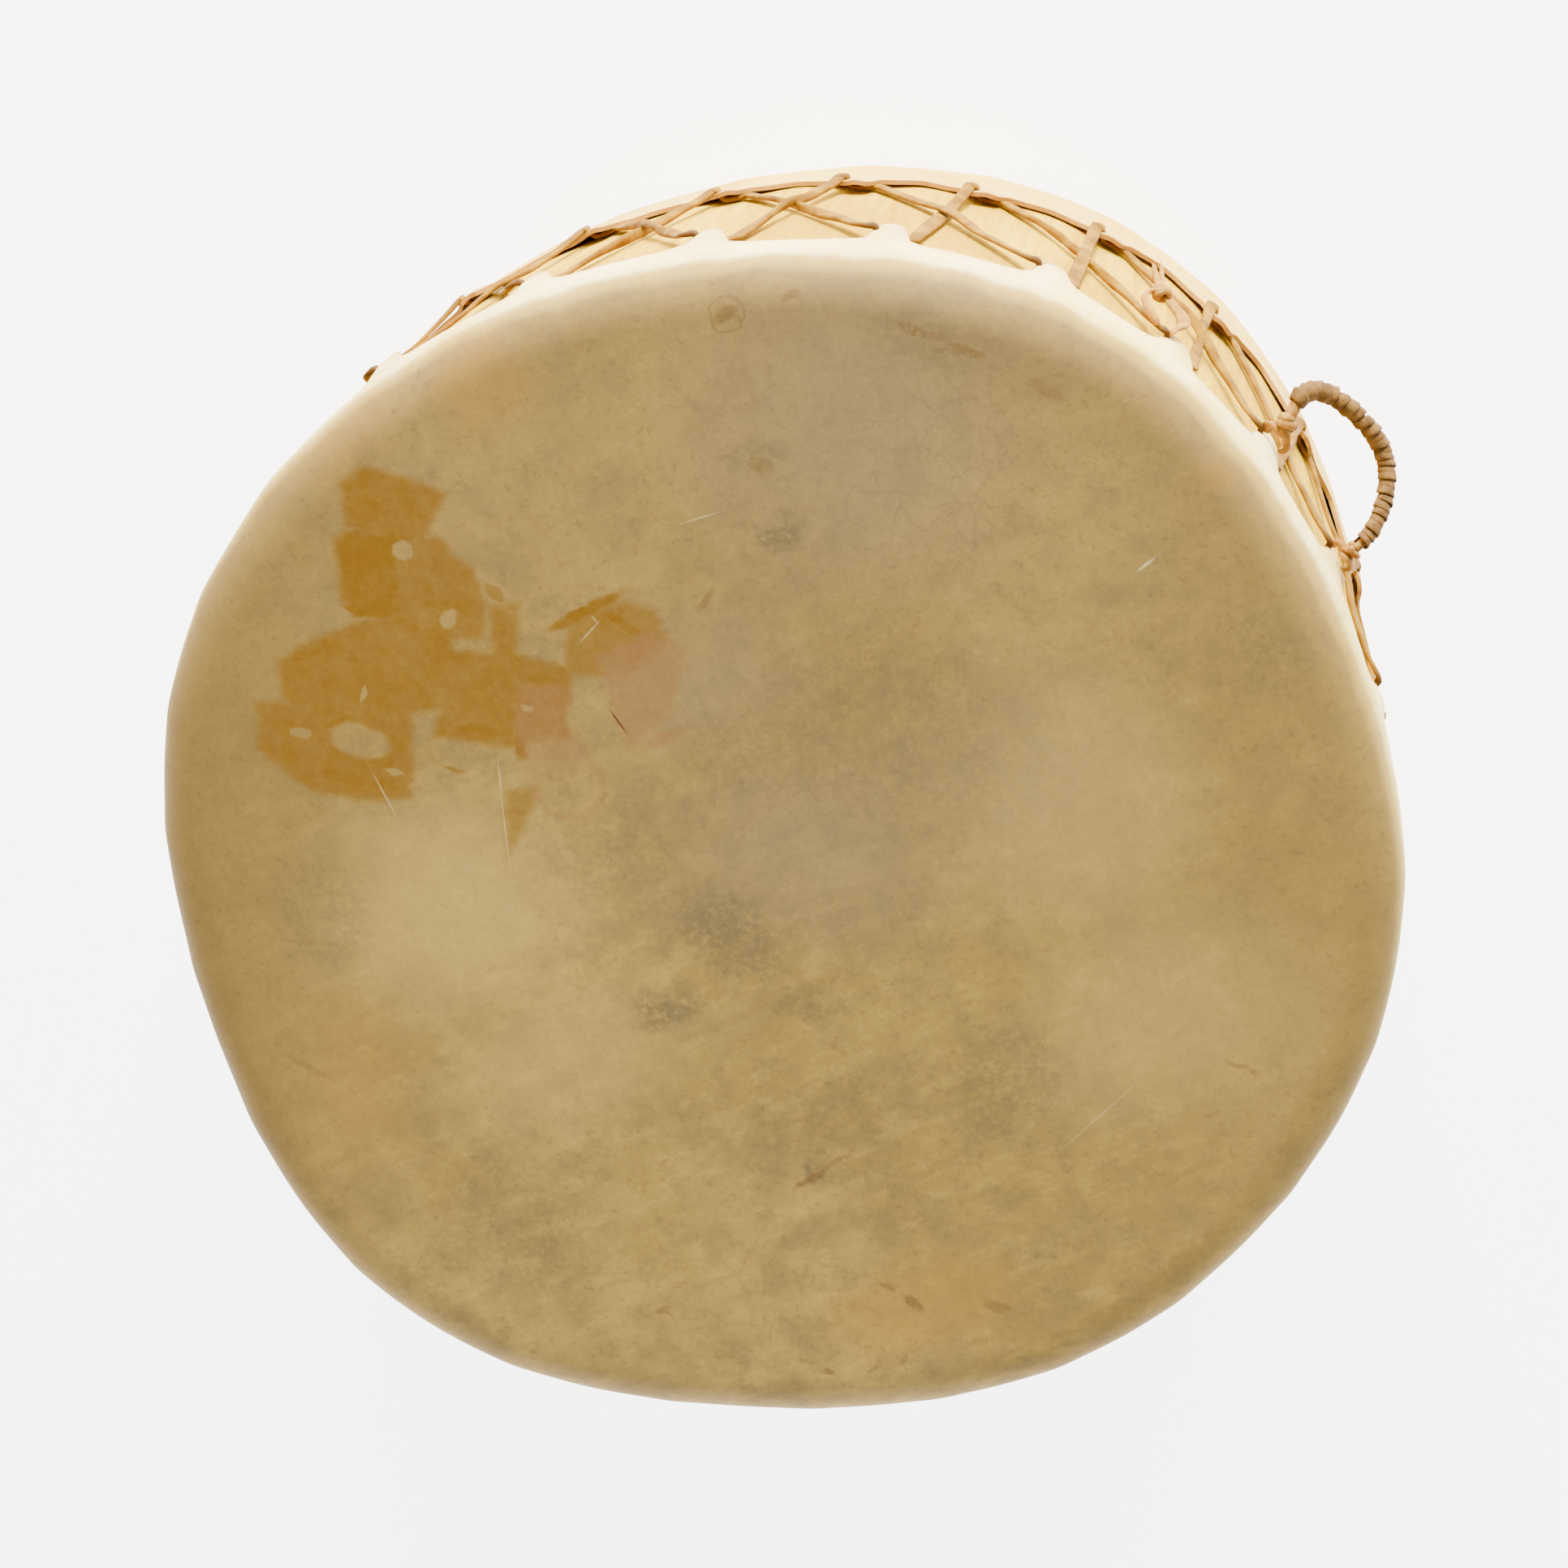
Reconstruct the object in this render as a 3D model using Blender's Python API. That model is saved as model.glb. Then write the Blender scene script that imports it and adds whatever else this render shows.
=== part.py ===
# Two-headed log drum, lying on its back head at z = 0 with the playing head up.
# A hollowed log shell, two rawhide heads with scalloped skirts, one thong laced
# zigzag through both, a wrapped carrying handle and a small knotted loop.
# Lengths are metres, angles are degrees round the drum from +X towards +Y.

import bpy
import bmesh
from math import cos, sin, pi, radians, floor
from mathutils import Vector

# Driving sizes of the drum
HEAD_RADIUS = 0.2275
DRUM_DEPTH = 0.178
SKIN = 0.0018
SHELL_WALL = 0.014
SHOULDER = 0.014
CLEARANCE = 0.0003

# The log is not round: lobes as (count, height, direction)
LOBES = (
    (2, 0.0034, 53),
    (3, 0.0010, -25),
    (4, 0.0034, -32),
    (5, 0.0012, 10),
    (6, 0.0014, -5),
)
BACK_TUCK = 0.008
BACK_TUCK_DIRECTION = 130

# Lacing points: each row drifts a little round the drum
TIE_COUNT = 25
FRONT_START = 127
FRONT_DRIFT = -3.6
FRONT_DRIFT_COUNT = 3
FRONT_DRIFT_DIRECTION = 75
BACK_START = 131.2
BACK_DRIFT = 4.7
BACK_DRIFT_COUNT = 2
BACK_DRIFT_DIRECTION = 30

# Skirts, measured down the wall from their own face
FRONT_TONGUE = 0.040
FRONT_SCALLOP = 0.022
BACK_TONGUE = 0.058
BACK_SCALLOP = 0.040
SKIRT_LIFT = 0.0004
TONGUE_SHARPNESS = 1.5

# The lacing thong
THONG_WIDTH = 0.005
THONG_THICKNESS = 0.002
THONG_LIFT = 0.0007
TONGUE_ROOM = 0.0005
TONGUE_COVER = 0.0055
PASS_HALF = 0.009
CROSSING_ROOM = 0.0006

# The carrying handle, tied over two neighbouring tongues
HANDLE_TIE = 6
HANDLE_RISE = 0.031
HANDLE_BULGE = 2.5
HANDLE_FOOT_DROP = 0.029
HANDLE_DROP = 0.045
HANDLE_SEAT = 0.0014
CORE_RADIUS_START = 0.0027
CORE_RADIUS_END = 0.0016
KNOT_RADIUS = 0.0040
WRAP_THICKNESS = 0.0014
WRAP_ROOM = 0.0007
WRAP_WIDTH = 0.0046
WRAP_TURNS = 13
WRAP_START = 0.15
WRAP_END = 0.86

# The knotted loop beside the handle
LOOP_TIE = 5
LOOP_CORD = 0.0016
LOOP_WIDTH = 0.016
LOOP_RISE = 0.014
LOOP_LEAN = 0.024
LOOP_FOOT_DROP = 0.036
LOOP_SEAT = 0.0006
LOOP_KNOT_RADIUS = 0.0042
LOOP_TAIL = 0.012

# How finely round stretches are cut
STATIONS_PER_TIE = 4
SHOULDER_STEPS = 2
WRAP_SIDES = 8
CORE_POINTS = 20
LOOP_POINTS = 12


def clear_scene():
    for item in list(bpy.data.objects):
        bpy.data.objects.remove(item, do_unlink=True)


def new_collection(name):
    collection = bpy.data.collections.new(name)
    bpy.context.scene.collection.children.link(collection)
    return collection


def material(name, colour, roughness):
    made = bpy.data.materials.new(name)
    made.use_nodes = True
    shader = made.node_tree.nodes["Principled BSDF"]
    shader.inputs["Base Color"].default_value = (*colour, 1.0)
    shader.inputs["Roughness"].default_value = roughness
    shader.inputs["Metallic"].default_value = 0.0
    made.diffuse_color = (*colour, 1.0)
    return made


def outline_radius(angle, height):
    """Radius of the skin's outer wall at an angle and a height above the back face."""
    lobes = sum(size * cos(count * radians(angle - direction)) for count, size, direction in LOBES)
    facing = max(0.0, cos(radians(angle - BACK_TUCK_DIRECTION)))
    tuck = BACK_TUCK * facing ** 2 * (1 - height / DRUM_DEPTH)
    return HEAD_RADIUS + lobes - tuck


def wall_point(angle, inset, height):
    """A point a given distance inside the skin's outer wall."""
    radius = outline_radius(angle, height) - inset
    return Vector((radius * cos(radians(angle)), radius * sin(radians(angle)), height))


def drifting_angle(start, index, drift, count, direction):
    base = start - index * 360 / TIE_COUNT
    return base + drift * cos(count * radians(base - direction))


def front_tie(index):
    return drifting_angle(FRONT_START, index, FRONT_DRIFT, FRONT_DRIFT_COUNT, FRONT_DRIFT_DIRECTION)


def back_tie(index):
    return drifting_angle(BACK_START, index, BACK_DRIFT, BACK_DRIFT_COUNT, BACK_DRIFT_DIRECTION)


def front_height(drop):
    return DRUM_DEPTH - drop


def back_height(drop):
    return drop


def tongue_share(index):
    """1 at a lacing point, 0 half way to the next one."""
    return abs(1 - 2 * (index - floor(index)))


def tongue_lift(tongue):
    """How far a tongue's tip stands off the wall, so that the thong passes under it."""
    near_edge = tongue - TONGUE_COVER - THONG_WIDTH / 2
    share = (near_edge - SHOULDER) / (tongue - SHOULDER)
    return (THONG_LIFT + THONG_THICKNESS + TONGUE_ROOM) / share


def lift_at(drop):
    """How far the middle of a front tongue stands off the wall, at a drop from the face."""
    return tongue_lift(FRONT_TONGUE) * (drop - SHOULDER) / (FRONT_TONGUE - SHOULDER)


def arc_profile(depth):
    """Rounded shoulder as (inset, drop), for a surface lying a depth inside the skin's outside."""
    radius = SHOULDER - depth
    steps = [pi / 2 * step / SHOULDER_STEPS for step in range(SHOULDER_STEPS + 1)]
    return [(SHOULDER - radius * sin(step), SHOULDER - radius * cos(step)) for step in steps]


def add_object(name, mesh, collection, finish):
    item = bpy.data.objects.new(name, mesh)
    collection.objects.link(item)
    mesh.materials.append(finish)
    for face in mesh.polygons:
        face.use_smooth = len(face.vertices) == 4
    return item


def ring_body(name, stations, rings, closed, collection, finish):
    """Extrude a ring of edges from outline to outline, then cap its ends or join them."""
    body = bmesh.new()
    made = bmesh.ops.create_circle(body, cap_ends=not closed, segments=stations, radius=1)
    edges = [edge for edge in body.edges]
    first_edges = edges
    ring = sorted(made["verts"], key=lambda vertex: vertex.index)
    for vertex, place in zip(ring, rings[0]):
        vertex.co = place
    for places in rings[1:]:
        grown = bmesh.ops.extrude_edge_only(body, edges=edges)["geom"]
        edges = [part for part in grown if isinstance(part, bmesh.types.BMEdge)
                 and all(vertex not in ring for vertex in part.verts)]
        next_ring = []
        for vertex in ring:
            above = [edge.other_vert(vertex) for edge in vertex.link_edges]
            next_ring.append([other for other in above if other in grown][0])
        ring = next_ring
        for vertex, place in zip(ring, places):
            vertex.co = place
    if closed:
        bmesh.ops.bridge_loops(body, edges=first_edges + edges)
    else:
        bmesh.ops.contextual_create(body, geom=edges)
    bmesh.ops.recalc_face_normals(body, faces=body.faces)
    mesh = bpy.data.meshes.new(name)
    body.to_mesh(mesh)
    body.free()
    return add_object(name, mesh, collection, finish)


def shell(collection, finish):
    """The hollow log: an open ring with rounded outer edges under the skins."""
    stations = TIE_COUNT * STATIONS_PER_TIE
    seat = SKIN + CLEARANCE
    arc = arc_profile(seat)
    inner = seat + SHELL_WALL
    front = [(inner, front_height(arc[0][1]))] + [(inset, front_height(drop)) for inset, drop in arc]
    back = [(inset, back_height(drop)) for inset, drop in reversed(arc)] + [(inner, back_height(arc[0][1]))]
    rings = [[wall_point(360 * station / stations, inset, height) for station in range(stations)]
             for inset, height in front + back]
    return ring_body("shell", stations, rings, True, collection, finish)


def head(name, tie, height, tongue, scallop, collection, finish):
    """A rawhide head: flat face, rounded shoulder and a skirt cut into tongues."""
    stations = TIE_COUNT * STATIONS_PER_TIE
    indices = [station / STATIONS_PER_TIE for station in range(stations)]
    tip_lift = tongue_lift(tongue)

    def skirt_edge(index):
        share = tongue_share(index)
        drop = scallop + (tongue - scallop) * share ** TONGUE_SHARPNESS
        lift = SKIRT_LIFT + (tip_lift - SKIRT_LIFT) * min(1.0, 2 * share)
        return drop, lift

    def ring(inset, drop):
        return [wall_point(tie(index), inset, height(drop)) for index in indices]

    def edge_ring(depth):
        places = []
        for index in indices:
            drop, lift = skirt_edge(index)
            places.append(wall_point(tie(index), depth - lift, height(drop)))
        return places

    outside = [ring(inset, drop) for inset, drop in arc_profile(0)] + [edge_ring(0)]
    inside = [edge_ring(SKIN)] + [ring(inset, drop) for inset, drop in reversed(arc_profile(SKIN))]
    return ring_body(name, stations, outside + inside, False, collection, finish)


def strap(name, places, outwards, width, thickness, closed, collection, finish):
    """A flat strap swept along a path, its flat side facing the given directions."""
    body = bmesh.new()
    count = len(places)
    rings = []
    for step, place in enumerate(places):
        before = places[step - 1] if closed or step > 0 else place
        after = places[(step + 1) % count] if closed or step + 1 < count else place
        along = (after - before).normalized()
        across = along.cross(outwards[step]).normalized()
        outward = across.cross(along).normalized()
        corners = ((-1, -1), (1, -1), (1, 1), (-1, 1))
        rings.append([body.verts.new(place + across * side * width / 2 + outward * face * thickness / 2)
                      for side, face in corners])
    spans = count if closed else count - 1
    for step in range(spans):
        here = rings[step]
        there = rings[(step + 1) % count]
        for corner in range(4):
            beside = (corner + 1) % 4
            body.faces.new((here[corner], here[beside], there[beside], there[corner]))
    if not closed:
        body.faces.new(list(reversed(rings[0])))
        body.faces.new(rings[-1])
    bmesh.ops.recalc_face_normals(body, faces=body.faces)
    mesh = bpy.data.meshes.new(name)
    body.to_mesh(mesh)
    body.free()
    return add_object(name, mesh, collection, finish)


def thong_place(angle, height, lift):
    """Centre of the thong where its underside is a lift above the shell."""
    return wall_point(angle, SKIN + CLEARANCE - lift - THONG_THICKNESS / 2, height)


def lacing(collection, finish):
    """One endless thong: under a front tongue, down to the back row, up again, twice round."""
    over = THONG_LIFT + THONG_THICKNESS + CROSSING_ROOM
    pass_angle = PASS_HALF / HEAD_RADIUS * 180 / pi
    turns = 2 * TIE_COUNT

    def tie_of(step):
        if step % 2 == 0:
            return front_tie(step), front_height(FRONT_TONGUE - TONGUE_COVER)
        return back_tie(step), back_height(BACK_TONGUE - TONGUE_COVER)

    places = []
    outwards = []

    def add(angle, height, lift):
        places.append(thong_place(angle, height, lift))
        outwards.append(Vector((cos(radians(angle)), sin(radians(angle)), 0)))

    for step in range(turns):
        angle, height = tie_of(step)
        for share in (1, 0, -1):
            add(angle + share * pass_angle, height, THONG_LIFT)
        next_angle, next_height = tie_of(step + 1)
        leaving = angle - pass_angle
        arriving = next_angle + pass_angle
        left_tie = step % TIE_COUNT
        goes_over = (left_tie % 2 == 0) == (step % 2 == 0)
        middle = over if goes_over else THONG_LIFT
        for share, lift in ((0.17, THONG_LIFT), (0.38, middle), (0.62, middle), (0.83, THONG_LIFT)):
            add(leaving + share * (arriving - leaving), height + share * (next_height - height), lift)
    return strap("lacing", places, outwards, THONG_WIDTH, THONG_THICKNESS, True, collection, finish)


def handle_place(share):
    """The handle's centre line, from the upper tie (0) to the lower tie (1)."""
    start = front_tie(HANDLE_TIE)
    end = front_tie(HANDLE_TIE + 1)
    turn = pi * share
    angle = start + (end - start) * (1 - cos(turn)) / 2 + HANDLE_BULGE * max(0.0, sin(2 * turn)) ** 2
    drop = HANDLE_FOOT_DROP + (HANDLE_DROP - HANDLE_FOOT_DROP) * sin(turn) ** 2
    rise = lift_at(HANDLE_FOOT_DROP) + HANDLE_SEAT + HANDLE_RISE * sin(turn)
    return wall_point(angle, -rise, front_height(drop))


def core_radius(share):
    return CORE_RADIUS_START + (CORE_RADIUS_END - CORE_RADIUS_START) * share


def tube(name, places, radii, collection, finish):
    """A round cord: a poly curve with a bevel and filled caps, turned into a mesh."""
    curve = bpy.data.curves.new(name, "CURVE")
    curve.dimensions = "3D"
    curve.bevel_depth = 1.0
    curve.bevel_resolution = 2
    curve.use_fill_caps = True
    spline = curve.splines.new("POLY")
    spline.points.add(len(places) - 1)
    for point, place, radius in zip(spline.points, places, radii):
        point.co = (*place, 1)
        point.radius = radius
    drawn = bpy.data.objects.new(name + "_line", curve)
    collection.objects.link(drawn)
    mesh = bpy.data.meshes.new_from_object(drawn)
    bpy.data.objects.remove(drawn, do_unlink=True)
    mesh.name = name
    body = bmesh.new()
    body.from_mesh(mesh)
    bmesh.ops.remove_doubles(body, verts=body.verts, dist=0.00001)
    body.to_mesh(mesh)
    body.free()
    return add_object(name, mesh, collection, finish)


def handle_core(collection, finish):
    """The bare cord of the handle, ending in a knot at the lower tie."""
    shares = [step / (CORE_POINTS - 1) for step in range(CORE_POINTS)]
    places = [handle_place(share) for share in shares]
    radii = []
    for share in shares:
        knot = max(0.0, 1 - abs(share - 0.93) / 0.05)
        radii.append(core_radius(share) + (KNOT_RADIUS - core_radius(share)) * knot)
    return tube("handle_core", places, radii, collection, finish)


def handle_wrap(collection, finish):
    """One thong wound round the handle's cord."""
    steps = WRAP_TURNS * WRAP_SIDES
    places = []
    outwards = []
    for step in range(steps + 1):
        share = WRAP_START + (WRAP_END - WRAP_START) * step / steps
        centre = handle_place(share)
        along = (handle_place(share + 0.001) - handle_place(share - 0.001)).normalized()
        up = Vector((0, 0, 1))
        side = along.cross(up).normalized()
        up = side.cross(along)
        turn = 2 * pi * step / WRAP_SIDES
        direction = side * cos(turn) + up * sin(turn)
        reach = (core_radius(share) + WRAP_ROOM) / cos(pi / WRAP_SIDES) + WRAP_THICKNESS / 2
        places.append(centre + direction * reach)
        outwards.append(direction)
    return strap("handle_wrap", places, outwards, WRAP_WIDTH, WRAP_THICKNESS, False, collection, finish)


def fuse(kept, added):
    """Boolean union of one object into another, which it leaves as plain mesh."""
    union = kept.modifiers.new("fuse", "BOOLEAN")
    union.operation = "UNION"
    union.solver = "EXACT"
    union.object = added
    mesh = bpy.data.meshes.new_from_object(kept.evaluated_get(bpy.context.evaluated_depsgraph_get()))
    kept.modifiers.clear()
    kept.data = mesh
    bpy.data.objects.remove(added, do_unlink=True)


def lace_loop(collection, finish):
    """A thong's end tied into a small loop that stands off the wall, with its knot and tail."""
    angle = front_tie(LOOP_TIE)
    outward = Vector((cos(radians(angle)), sin(radians(angle)), 0))
    sideways = Vector((-sin(radians(angle)), cos(radians(angle)), 0))
    stand_off = lift_at(LOOP_FOOT_DROP) + LOOP_SEAT + LOOP_CORD
    foot = wall_point(angle, -stand_off, front_height(LOOP_FOOT_DROP))
    rise = outward * LOOP_RISE + Vector((0, 0, -LOOP_LEAN))
    ring = []
    for step in range(LOOP_POINTS + 1):
        turn = pi / 2 + 2 * pi * step / LOOP_POINTS
        ring.append(foot + rise * (1 + sin(turn)) / 2 + sideways * LOOP_WIDTH / 2 * cos(turn))
    gap = (ring[1] - ring[0]) * 0.2
    ring[0] = ring[0] + gap
    ring[-1] = ring[-1] - gap.reflect(sideways)
    loop = tube("lace_loop", ring, [LOOP_CORD] * len(ring), collection, finish)
    top = foot + rise
    ball = bmesh.new()
    bmesh.ops.create_uvsphere(ball, u_segments=10, v_segments=6, radius=LOOP_KNOT_RADIUS)
    bmesh.ops.translate(ball, verts=ball.verts, vec=top)
    mesh = bpy.data.meshes.new("loop_knot")
    ball.to_mesh(mesh)
    ball.free()
    fuse(loop, add_object("loop_knot", mesh, collection, finish))
    tail_way = rise.normalized()
    tail = [top + tail_way * LOOP_TAIL * share for share in (0.1, 0.6, 1.0)]
    fuse(loop, tube("loop_tail", tail, [LOOP_CORD] * len(tail), collection, finish))


def build():
    clear_scene()
    drum = new_collection("log_drum")
    wood = material("cottonwood", (0.80, 0.58, 0.28), 0.6)
    front_hide = material("front_rawhide", (0.56, 0.46, 0.27), 0.45)
    back_hide = material("back_rawhide", (0.62, 0.51, 0.32), 0.45)
    thong = material("lacing_thong", (0.60, 0.38, 0.19), 0.5)
    cord = material("handle_cord", (0.78, 0.64, 0.42), 0.6)
    wrap = material("wrapping_thong", (0.42, 0.27, 0.14), 0.6)
    loop = material("loop_thong", (0.66, 0.46, 0.22), 0.5)
    shell(drum, wood)
    head("front_head", front_tie, front_height, FRONT_TONGUE, FRONT_SCALLOP, drum, front_hide)
    head("back_head", back_tie, back_height, BACK_TONGUE, BACK_SCALLOP, drum, back_hide)
    lacing(drum, thong)
    handle_core(drum, cord)
    handle_wrap(drum, wrap)
    lace_loop(drum, loop)


build()
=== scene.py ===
# Laced log drum: the finish of every surface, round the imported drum.
# Metres; angles are degrees round the drum from +X towards +Y. The drum lies on its back
# head at z = 0. Drops are measured from the nearer head's face, down the wall.

from itertools import chain
from math import asin, cos, exp, floor, pi, radians, sin
import bpy
from mathutils import Matrix, Vector, noise


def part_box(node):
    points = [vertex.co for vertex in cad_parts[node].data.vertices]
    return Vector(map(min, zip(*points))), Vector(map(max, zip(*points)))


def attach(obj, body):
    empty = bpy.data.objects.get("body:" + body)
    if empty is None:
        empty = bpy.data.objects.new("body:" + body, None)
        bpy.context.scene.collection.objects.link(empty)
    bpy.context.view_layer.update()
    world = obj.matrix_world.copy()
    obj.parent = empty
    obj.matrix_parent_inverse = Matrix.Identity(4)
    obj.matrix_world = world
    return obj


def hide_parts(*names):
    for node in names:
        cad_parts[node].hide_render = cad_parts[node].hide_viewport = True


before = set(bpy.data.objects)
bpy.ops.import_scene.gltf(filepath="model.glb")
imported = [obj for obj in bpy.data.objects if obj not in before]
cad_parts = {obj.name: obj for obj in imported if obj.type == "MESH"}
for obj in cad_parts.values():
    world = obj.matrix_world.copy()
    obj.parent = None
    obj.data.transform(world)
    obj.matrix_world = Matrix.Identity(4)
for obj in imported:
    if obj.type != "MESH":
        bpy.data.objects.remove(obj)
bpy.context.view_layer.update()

# The drum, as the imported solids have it
HEAD_RADIUS = 0.2275
DEGREES_PER_METRE = 180 / pi / HEAD_RADIUS
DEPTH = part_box("front_head")[1][2]
SKIN = 0.0018
SHELL_WALL = 0.014
SHOULDER = 0.014
SHOULDER_REACH = 0.019
CLEARANCE = 0.0003
LOBES = (
    (2, 0.0034, 53),
    (3, 0.0010, -25),
    (4, 0.0034, -32),
    (5, 0.0012, 10),
    (6, 0.0014, -5),
)
BACK_TUCK = 0.008
BACK_TUCK_DIRECTION = 130
SIDE_TUCK = 0.009
SIDE_TUCK_DIRECTION = -8
# Where the wall turns in below the shoulder: direction, depth and narrowness
HOLLOWS = ((-6, 0.0056, 8), (150, 0.0040, 30))

# Lacing points: start, drift, how often the drift repeats, and its direction. Both rows
# also creep a little round the drum, away from one direction.
TIES = 25
FRONT_ROW = (127, -3.6, 3, 75)
BACK_ROW = (131.2, 4.7, 2, 30)
FRONT_CREEP = 2.4
BACK_CREEP = 1.5
CREEP_DIRECTION = 165
FRONT_TONGUE = 0.040
FRONT_SCALLOP = 0.022
BACK_TONGUE = 0.058
BACK_SCALLOP = 0.040
TONGUE_HALF = 0.0034
THONG_WIDTH = 0.0050
THONG_THICKNESS = 0.0017
THONG_LIFT = 0.0007
PASS_COVER = 0.0062

# The photograph: a square frame, taken 1.3 m from the playing head and 22 degrees off its axis
FRAME_PIXELS = 1932
SENSOR = 36
FOCAL_PIXELS = 4500
VIEW_TILT = radians(22)
VIEW_TURN = radians(70)
FACE_FROM_CAMERA = Vector((-0.0063, -0.0337, 1.3077))


def outline(angle, height):
    """Radius of the skin's outer wall."""
    lobes = sum(size * cos(count * radians(angle - direction)) for count, size, direction in LOBES)
    facing = max(0.0, cos(radians(angle - BACK_TUCK_DIRECTION)))
    beside = max(0.0, cos(radians(angle - SIDE_TUCK_DIRECTION)))
    drop = 1 - height / DEPTH
    tuck = (BACK_TUCK * facing ** 2 + SIDE_TUCK * beside ** 8) * drop
    for direction, depth, narrowness in HOLLOWS:
        near = max(0.0, cos(radians(angle - direction))) ** narrowness
        tuck += depth * near * smooth(drop, 0.06, 0.26)
    return HEAD_RADIUS + lobes - tuck


def out_from_axis(angle):
    return Vector((cos(radians(angle)), sin(radians(angle)), 0))


def wall_point(angle, inset, height):
    point = out_from_axis(angle) * (outline(angle, height) - inset)
    point.z = height
    return point


def tie_angle(row, index):
    start, drift, count, direction = row
    base = start - index * 360 / TIES
    return base + drift * cos(count * radians(base - direction))


def shoulder(turn, under=0.0):
    """Inset and drop of the round shoulder, or of a layer under it. turn goes from 0 at the face."""
    normal = Vector((sin(turn) / SHOULDER_REACH, cos(turn) / SHOULDER)).normalized()
    inset = SHOULDER_REACH * (1 - sin(turn)) + under * normal.x
    drop = SHOULDER * (1 - cos(turn)) + under * normal.y
    return inset, drop


def smooth(value, low, high):
    share = min(1.0, max(0.0, (value - low) / (high - low)))
    return share * share * (3 - 2 * share)


def waver(place, size):
    """Smooth noise in -1 to 1, the same every run."""
    return noise.noise(place / size)


def view_matrix():
    """Camera directions (right, up, ahead) to the drum's own, from the view's tilt and turn."""
    into = Vector((sin(VIEW_TILT) * cos(VIEW_TURN), sin(VIEW_TILT) * sin(VIEW_TURN), cos(VIEW_TILT)))
    right = (Vector((1, 0, 0)) - into * into.x).normalized()
    return Matrix((right, into.cross(right), -into))


VIEW = view_matrix()
EYE = Vector((0, 0, DEPTH)) - VIEW @ FACE_FROM_CAMERA


def on_face(across, down):
    """The point of the playing head that the photograph shows at a pixel."""
    middle = FRAME_PIXELS / 2
    ray = VIEW @ Vector(((across - middle) / FOCAL_PIXELS, (middle - down) / FOCAL_PIXELS, 1))
    return EYE + ray * (DEPTH - EYE.z) / ray.z


PIXEL = (on_face(1100, 1031) - on_face(900, 1031)).length / 200


def make_camera():
    lens = bpy.data.cameras.new("camera")
    lens.lens = FOCAL_PIXELS * SENSOR / FRAME_PIXELS
    lens.sensor_width = SENSOR
    camera = bpy.data.objects.new("camera", lens)
    bpy.context.scene.collection.objects.link(camera)
    right = VIEW @ Vector((1, 0, 0))
    up = VIEW @ Vector((0, 1, 0))
    back = VIEW @ Vector((0, 0, -1))
    turned = Matrix((right, up, back)).transposed().to_4x4()
    camera.matrix_world = Matrix.Translation(EYE) @ turned
    bpy.context.scene.camera = camera


# Skirts: how much their edges and surfaces vary
HANG = 0.0020
NOTCH = 0.0025
RAGGED = 0.0016
FRAYED = 0.0006
BULGE = 3.1
BULGE_HALF = 0.0085
CURL_DEPTH = 0.007
FLAT_HALF = 0.012
SWAY_SIZE = 0.03
SWAY = 0.0004
PLEAT = 0.0005
PLEAT_HALF = 0.009
FACE_SWAY = 0.0003
FACE_DISH = 0.0002


class Skirt:
    """One head's skirt: its lacing row, depths and edge, and where heights are measured from."""

    def __init__(self, row, creep, tongue, scallop, arch, flank, in_aside, from_top):
        self.row = row
        self.creep = creep
        self.tongue = tongue
        self.scallop = scallop
        self.arch = arch
        self.flank = flank
        self.in_aside = in_aside
        self.from_top = from_top

    def angle(self, index):
        angle = tie_angle(self.row, index)
        return angle - self.creep * cos(radians(angle - CREEP_DIRECTION))

    def height(self, drop):
        return DEPTH - drop if self.from_top else drop

    def pitch(self, index):
        """Half the distance to the next lacing point, along the wall."""
        return HEAD_RADIUS * radians(abs(self.angle(index + 0.5) - self.angle(index)))

    def aside(self, index):
        """Distance along the wall from the nearest tongue's middle, and half the way to the next."""
        tie = floor(index + 0.5)
        return HEAD_RADIUS * radians(abs(self.angle(index) - self.angle(tie))), self.pitch(tie)

    def edge(self, index):
        """Drop of the edge: a narrow tongue at each lacing point, and an arch between two of them."""
        side, half = self.aside(index)
        tie = floor(index + 0.5) % TIES
        hang = HANG * sin(2.4 * tie)
        notch = NOTCH * sin(1.7 * floor(index) + 1)
        depth = self.tongue + hang - self.scallop - notch
        arch = self.arch * max(0.0, 1 - side / half) ** 1.5
        tab = 1 - smooth(side, TONGUE_HALF, TONGUE_HALF + self.flank)
        place = out_from_axis(self.angle(index)) * HEAD_RADIUS
        ragged = RAGGED * waver(place, 0.016) + FRAYED * waver(place, 0.005)
        return self.tongue + hang - depth * (1 - arch) * (1 - tab) + ragged

    def lift(self, index, drop):
        """How far the skin's underside stands off the shell."""
        side = self.aside(index)[0]
        swollen = smooth(drop, self.tongue - 0.024, self.tongue - 0.009)
        bulge = BULGE * exp(-(side / BULGE_HALF) ** 2) * swollen
        place = wall_point(self.angle(index), 0, drop)
        curled = smooth(drop, self.edge(index) - CURL_DEPTH, self.edge(index))
        curl = (0.3 + 0.5 * waver(place, SWAY_SIZE)) * curled
        away = 1 - exp(-(side / FLAT_HALF) ** 2)
        pull = 0.15 * smooth(drop, SHOULDER, self.tongue)
        return CLEARANCE + 0.001 * max(0.0, bulge + curl * away + pull)

    def outside(self, index, drop):
        """A point on the skin's outer side, below the shoulder."""
        angle = self.angle(index)
        height = self.height(drop)
        point = wall_point(angle, -(self.lift(index, drop) - CLEARANCE), height)
        return point + out_from_axis(angle) * SWAY * waver(point, SWAY_SIZE)


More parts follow.
